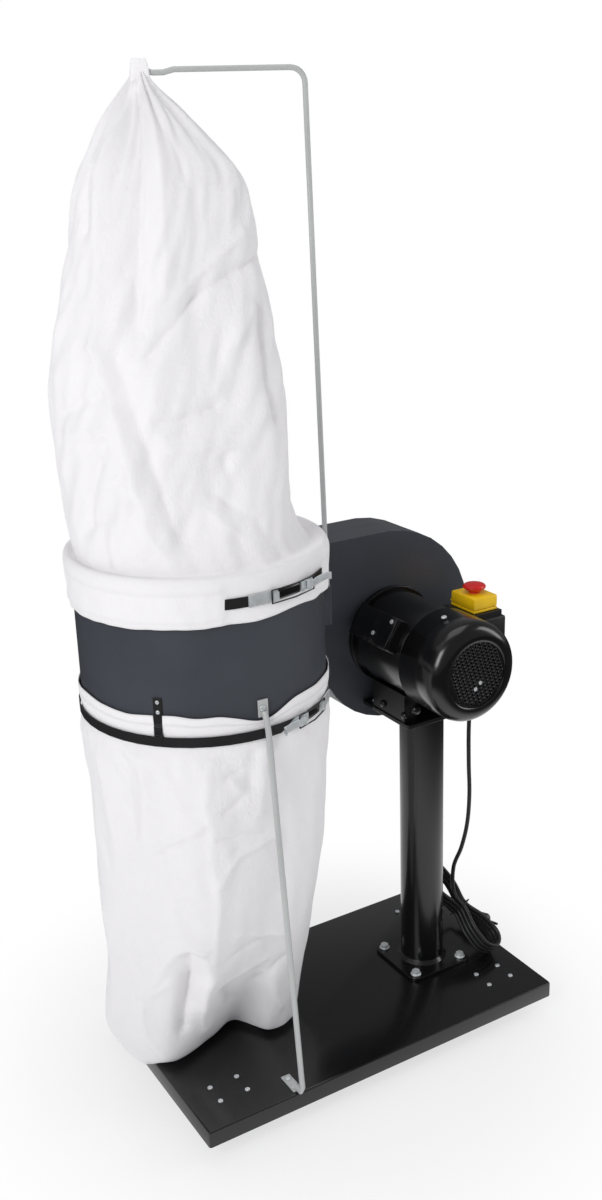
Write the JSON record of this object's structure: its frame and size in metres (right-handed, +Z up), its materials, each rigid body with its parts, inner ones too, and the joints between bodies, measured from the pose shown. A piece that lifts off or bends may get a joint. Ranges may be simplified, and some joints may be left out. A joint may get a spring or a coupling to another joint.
{
  "type": "dust collector",
  "caption": "Upright workshop dust collector: motor-driven fan on a post, ring with cloth filter bag above and collection bag below, on a wheeled tray.",
  "frame": {"origin": "floor, under the middle of the machine's footprint", "axes": "+Z up, +X from the bags towards the motor and switch, +Y from the motor towards the inlet; the motor's fan cover faces -Y"},
  "size_m": [0.7718, 0.4424, 1.5803],
  "materials": {
    "anthracite": "semi-gloss anthracite enamel",
    "black_plastic": "fine-grained black",
    "cord_black": "matte black sheath",
    "gloss_black": "gloss black enamel",
    "green": "moulded green",
    "laminations": "stacked steel laminations",
    "pale_grey": "pale grey enamel",
    "red": "moulded red",
    "steel": "bare steel",
    "tyre_grey": "grey-black rubber",
    "white_cotton": "undyed woven cotton",
    "yellow": "moulded yellow",
    "zinc": "bright zinc plate"
  },
  "bodies": {
    "machine": {"band_hook": "black_plastic", "base_tray": "gloss_black", "caster_plate_back_left": "zinc", "caster_plate_back_right": "zinc", "caster_plate_front_left": "zinc", "caster_plate_front_right": "zinc", "collection_bag": "white_cotton", "collector_ring": "anthracite", "cord_drop": "cord_black", "cord_gland": "black_plastic", "cord_hank": "cord_black", "cord_tail": "cord_black", "fan_cover": "gloss_black", "filter_bag": "white_cotton", "front_bearing": "steel", "hanger_rod": "pale_grey", "hank_tie": "cord_black", "housing_back": "anthracite", "housing_front": "anthracite", "inlet_spigot": "anthracite", "lower_band": "black_plastic", "motor_bracket": "gloss_black", "motor_flange": "gloss_black", "motor_frame": "gloss_black", "pedestal": "gloss_black", "pedestal_bolt_1": "zinc", "pedestal_bolt_2": "zinc", "pedestal_bolt_3": "zinc", "pedestal_bolt_4": "zinc", "power_plug": "black_plastic", "rear_bearing": "steel", "rear_shield": "gloss_black", "ring_strut": "pale_grey", "rod_socket": "anthracite", "stator": "laminations", "switch_box": "black_plastic", "switch_panel": "yellow", "terminal_box": "gloss_black", "terminal_lid": "gloss_black", "upper_band": "black_plastic"},
    "fan": {"impeller": "steel", "impeller_bolt": "zinc", "rotor_shaft": "steel", "cooling_fan": "black_plastic"},
    "flap": {"switch_flap": "yellow"},
    "mushroom": {"stop_mushroom": "red"},
    "start_push": {"start_button": "green"},
    "stop_push": {"stop_button": "red"},
    "fork_front_left": {"caster_fork_front_left": "zinc"},
    "wheel_front_left": {"caster_wheel_front_left": "tyre_grey"},
    "fork_front_right": {"caster_fork_front_right": "zinc"},
    "wheel_front_right": {"caster_wheel_front_right": "tyre_grey"},
    "fork_back_left": {"caster_fork_back_left": "zinc"},
    "wheel_back_left": {"caster_wheel_back_left": "tyre_grey"},
    "fork_back_right": {"caster_fork_back_right": "zinc"},
    "wheel_back_right": {"caster_wheel_back_right": "tyre_grey"},
    "upper_lever_body": {"upper_lever": "zinc"},
    "upper_bail_body": {"upper_bail": "black_plastic"},
    "lower_lever_body": {"lower_lever": "zinc"},
    "lower_bail_body": {"lower_bail": "black_plastic"}
  },
  "joints": [
    {"name": "fan_spin", "type": "hinge", "parent": "machine", "child": "fan", "pos_m": [0.2175, -0.014, 0.676], "axis": [0, 1, 0], "continuous": true},
    {"name": "swivel_front_left", "type": "hinge", "parent": "machine", "child": "fork_front_left", "pos_m": [-0.2405, -0.136, 0.0625], "axis": [0, 0, 1], "continuous": true},
    {"name": "roll_front_left", "type": "hinge", "parent": "fork_front_left", "child": "wheel_front_left", "pos_m": [-0.2245, -0.136, 0.025], "axis": [0, 1, 0], "continuous": true},
    {"name": "swivel_front_right", "type": "hinge", "parent": "machine", "child": "fork_front_right", "pos_m": [0.2955, -0.136, 0.0625], "axis": [0, 0, 1], "continuous": true},
    {"name": "roll_front_right", "type": "hinge", "parent": "fork_front_right", "child": "wheel_front_right", "pos_m": [0.2795, -0.136, 0.025], "axis": [0, 1, 0], "continuous": true},
    {"name": "swivel_back_left", "type": "hinge", "parent": "machine", "child": "fork_back_left", "pos_m": [-0.2405, 0.108, 0.0625], "axis": [0, 0, 1], "continuous": true},
    {"name": "roll_back_left", "type": "hinge", "parent": "fork_back_left", "child": "wheel_back_left", "pos_m": [-0.2245, 0.108, 0.025], "axis": [0, 1, 0], "continuous": true},
    {"name": "swivel_back_right", "type": "hinge", "parent": "machine", "child": "fork_back_right", "pos_m": [0.2955, 0.108, 0.0625], "axis": [0, 0, 1], "continuous": true},
    {"name": "roll_back_right", "type": "hinge", "parent": "fork_back_right", "child": "wheel_back_right", "pos_m": [0.2795, 0.108, 0.025], "axis": [0, 1, 0], "continuous": true},
    {"name": "flap_lift", "type": "hinge", "parent": "machine", "child": "flap", "pos_m": [0.3375, 0.0185, 0.7281], "axis": [-1, 0, 0], "range_deg": [0, 100]},
    {"name": "mushroom_push", "type": "slide", "parent": "flap", "child": "mushroom", "axis": [0, 0, -1], "range_m": [0, 0.002], "stiffness_N_per_m": 400},
    {"name": "start_push", "type": "slide", "parent": "machine", "child": "start_push", "axis": [0, 0, -1], "range_m": [0, 0.0025], "stiffness_N_per_m": 400},
    {"name": "stop_push", "type": "slide", "parent": "machine", "child": "stop_push", "axis": [0, 0, -1], "range_m": [0, 0.0025], "stiffness_N_per_m": 400},
    {"name": "upper_lever_turn", "type": "hinge", "parent": "machine", "child": "upper_lever_body", "pos_m": [-0.0941, -0.1891, 0.893], "axis": [0, 0, -1], "range_deg": [0, 150]},
    {"name": "upper_bail_turn", "type": "hinge", "parent": "upper_lever_body", "child": "upper_bail_body", "pos_m": [-0.08331, -0.18384, 0.893], "axis": [0, 0, -1], "range_deg": [-150, 0]},
    {"name": "lower_lever_turn", "type": "hinge", "parent": "machine", "child": "lower_lever_body", "pos_m": [-0.11287, -0.19706, 0.6945], "axis": [0, 0, 1], "range_deg": [0, 150]},
    {"name": "lower_bail_turn", "type": "hinge", "parent": "lower_lever_body", "child": "lower_bail_body", "pos_m": [-0.12415, -0.20117, 0.6945], "axis": [0, 0, 1], "range_deg": [-150, 0]}
  ],
  "couplings": [
    {"joint": "upper_bail_turn", "follows": "upper_lever_turn", "ratio": -1},
    {"joint": "lower_bail_turn", "follows": "lower_lever_turn", "ratio": -1}
  ]
}
